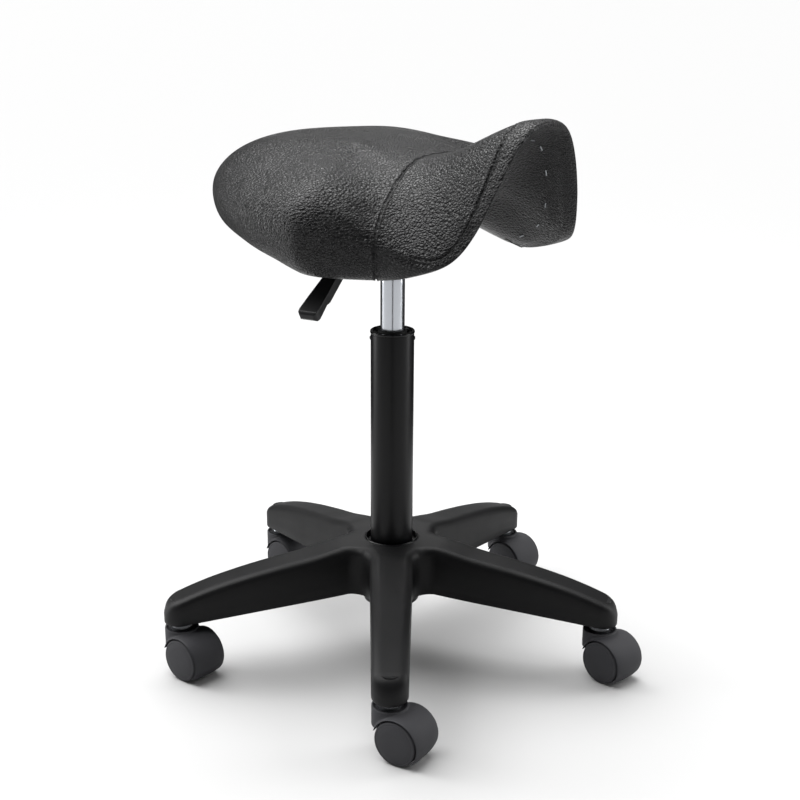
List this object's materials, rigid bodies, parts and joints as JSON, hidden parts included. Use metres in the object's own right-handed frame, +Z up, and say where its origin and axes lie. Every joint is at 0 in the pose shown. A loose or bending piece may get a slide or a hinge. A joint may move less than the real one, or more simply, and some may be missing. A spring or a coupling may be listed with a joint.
{
  "type": "saddle stool",
  "caption": "Rolling stylist stool with a padded saddle seat, gas-lift column, release lever and a star base on hooded twin-wheel casters.",
  "frame": {"origin": "on the floor, on the axis of the column", "axes": "+Z up along the column; the seat's raised front points along -Y and the sitter's left is +X"},
  "size_m": [0.522, 0.5523, 0.6435],
  "materials": {
    "nylon": "fine moulded grain, semi-matt black",
    "caster_nylon": "moulded black, semi-matt",
    "wheel_nylon": "moulded black, satin",
    "black_steel": "satin black powder coat",
    "bush_plastic": "smooth grey acetal",
    "rubber": "matt black",
    "zinc_steel": "zinc plated",
    "chrome": "ground and hard chromed, satin",
    "lever_plastic": "moulded black",
    "vinyl": "grained black upholstery vinyl",
    "foam": "moulded polyurethane foam",
    "plywood": "moulded ply shell"
  },
  "bodies": {
    "base": {"base_star": "nylon", "hub_ring": "nylon", "support_tube": "black_steel", "bush_rivets": "black_steel", "tube_collar": "nylon", "guide_bush": "bush_plastic", "wiper_ring": "rubber", "bearing_race_lower": "zinc_steel"},
    "spindle": {"piston_rod": "zinc_steel", "piston": "zinc_steel", "bump_stop": "rubber", "bearing_race_upper": "zinc_steel", "bearing_balls": "zinc_steel", "foot_clip": "zinc_steel"},
    "seat": {"pressure_cylinder": "chrome", "cylinder_gland": "bush_plastic", "valve_body": "zinc_steel", "taper_socket": "black_steel", "mount_plate": "black_steel", "lever_pivot": "zinc_steel", "mounting_bolts": "zinc_steel", "bolt_washers": "zinc_steel", "seat_spacers": "rubber", "tee_nuts": "zinc_steel", "seat_shell": "plywood", "seat_foam": "foam", "cover_rear": "vinyl", "cover_front": "vinyl", "cover_band": "vinyl", "cover_under": "vinyl", "staples": "zinc_steel"},
    "lever": {"lever_arm": "zinc_steel", "lever_handle": "lever_plastic"},
    "pin": {"release_pin": "zinc_steel"},
    "caster_1": {"caster_1_hood": "caster_nylon", "caster_1_stem": "zinc_steel", "caster_1_axle": "zinc_steel"},
    "wheel_1_a": {"caster_1_wheel_a": "wheel_nylon"},
    "wheel_1_b": {"caster_1_wheel_b": "wheel_nylon"},
    "caster_2": {"caster_2_hood": "caster_nylon", "caster_2_stem": "zinc_steel", "caster_2_axle": "zinc_steel"},
    "wheel_2_a": {"caster_2_wheel_a": "wheel_nylon"},
    "wheel_2_b": {"caster_2_wheel_b": "wheel_nylon"},
    "caster_3": {"caster_3_hood": "caster_nylon", "caster_3_stem": "zinc_steel", "caster_3_axle": "zinc_steel"},
    "wheel_3_a": {"caster_3_wheel_a": "wheel_nylon"},
    "wheel_3_b": {"caster_3_wheel_b": "wheel_nylon"},
    "caster_4": {"caster_4_hood": "caster_nylon", "caster_4_stem": "zinc_steel", "caster_4_axle": "zinc_steel"},
    "wheel_4_a": {"caster_4_wheel_a": "wheel_nylon"},
    "wheel_4_b": {"caster_4_wheel_b": "wheel_nylon"},
    "caster_5": {"caster_5_hood": "caster_nylon", "caster_5_stem": "zinc_steel", "caster_5_axle": "zinc_steel"},
    "wheel_5_a": {"caster_5_wheel_a": "wheel_nylon"},
    "wheel_5_b": {"caster_5_wheel_b": "wheel_nylon"}
  },
  "joints": [
    {"name": "seat_swivel", "type": "hinge", "parent": "base", "child": "spindle", "pos_m": [0, 0, 0.3], "axis": [0, 0, 1], "continuous": true},
    {"name": "seat_lift", "type": "slide", "parent": "spindle", "child": "seat", "axis": [0, 0, 1], "range_m": [-0.055, 0.065]},
    {"name": "lever_tilt", "type": "hinge", "parent": "seat", "child": "lever", "pos_m": [-0.02898, -0.00777, 0.4903], "axis": [-0.2588, 0.9659, 0], "range_deg": [0, 3], "stiffness_Nm_per_rad": 6, "springref_deg": -5.73},
    {"name": "pin_press", "type": "slide", "parent": "seat", "child": "pin", "axis": [0, 0, 1], "range_m": [-0.002, 0]},
    {"name": "caster_1_swivel", "type": "hinge", "parent": "base", "child": "caster_1", "pos_m": [-0.18965, -0.17076, 0.06], "axis": [0, 0, 1], "continuous": true},
    {"name": "wheel_1_a_spin", "type": "hinge", "parent": "caster_1", "child": "wheel_1_a", "pos_m": [-0.18635, -0.18947, 0.025], "axis": [-0.9848, -0.1736, 0], "continuous": true},
    {"name": "wheel_1_b_spin", "type": "hinge", "parent": "caster_1", "child": "wheel_1_b", "pos_m": [-0.18635, -0.18947, 0.025], "axis": [-0.9848, -0.1736, 0], "continuous": true},
    {"name": "caster_2_swivel", "type": "hinge", "parent": "base", "child": "caster_2", "pos_m": [0.1038, -0.23314, 0.06], "axis": [0, 0, 1], "continuous": true},
    {"name": "wheel_2_a_spin", "type": "hinge", "parent": "caster_2", "child": "wheel_2_a", "pos_m": [0.10214, -0.25206, 0.025], "axis": [-0.9962, 0.0872, 0], "continuous": true},
    {"name": "wheel_2_b_spin", "type": "hinge", "parent": "caster_2", "child": "wheel_2_b", "pos_m": [0.10214, -0.25206, 0.025], "axis": [-0.9962, 0.0872, 0], "continuous": true},
    {"name": "caster_3_swivel", "type": "hinge", "parent": "base", "child": "caster_3", "pos_m": [0.2538, 0.02668, 0.06], "axis": [0, 0, 1], "continuous": true},
    {"name": "wheel_3_a_spin", "type": "hinge", "parent": "caster_3", "child": "wheel_3_a", "pos_m": [0.25347, 0.00768, 0.025], "axis": [-0.9998, 0.0175, 0], "continuous": true},
    {"name": "wheel_3_b_spin", "type": "hinge", "parent": "caster_3", "child": "wheel_3_b", "pos_m": [0.25347, 0.00768, 0.025], "axis": [-0.9998, 0.0175, 0], "continuous": true},
    {"name": "caster_4_swivel", "type": "hinge", "parent": "base", "child": "caster_4", "pos_m": [0.05306, 0.24962, 0.06], "axis": [0, 0, 1], "continuous": true},
    {"name": "wheel_4_a_spin", "type": "hinge", "parent": "caster_4", "child": "wheel_4_a", "pos_m": [0.05273, 0.23063, 0.025], "axis": [-0.9998, 0.0175, 0], "continuous": true},
    {"name": "wheel_4_b_spin", "type": "hinge", "parent": "caster_4", "child": "wheel_4_b", "pos_m": [0.05273, 0.23063, 0.025], "axis": [-0.9998, 0.0175, 0], "continuous": true},
    {"name": "caster_5_swivel", "type": "hinge", "parent": "base", "child": "caster_5", "pos_m": [-0.22101, 0.1276, 0.06], "axis": [0, 0, 1], "continuous": true},
    {"name": "wheel_5_a_spin", "type": "hinge", "parent": "caster_5", "child": "wheel_5_a", "pos_m": [-0.22035, 0.10861, 0.025], "axis": [-0.9994, -0.0349, 0], "continuous": true},
    {"name": "wheel_5_b_spin", "type": "hinge", "parent": "caster_5", "child": "wheel_5_b", "pos_m": [-0.22035, 0.10861, 0.025], "axis": [-0.9994, -0.0349, 0], "continuous": true}
  ],
  "couplings": [
    {"joint": "pin_press", "follows": "lever_tilt", "m_per_rad": -0.03}
  ]
}
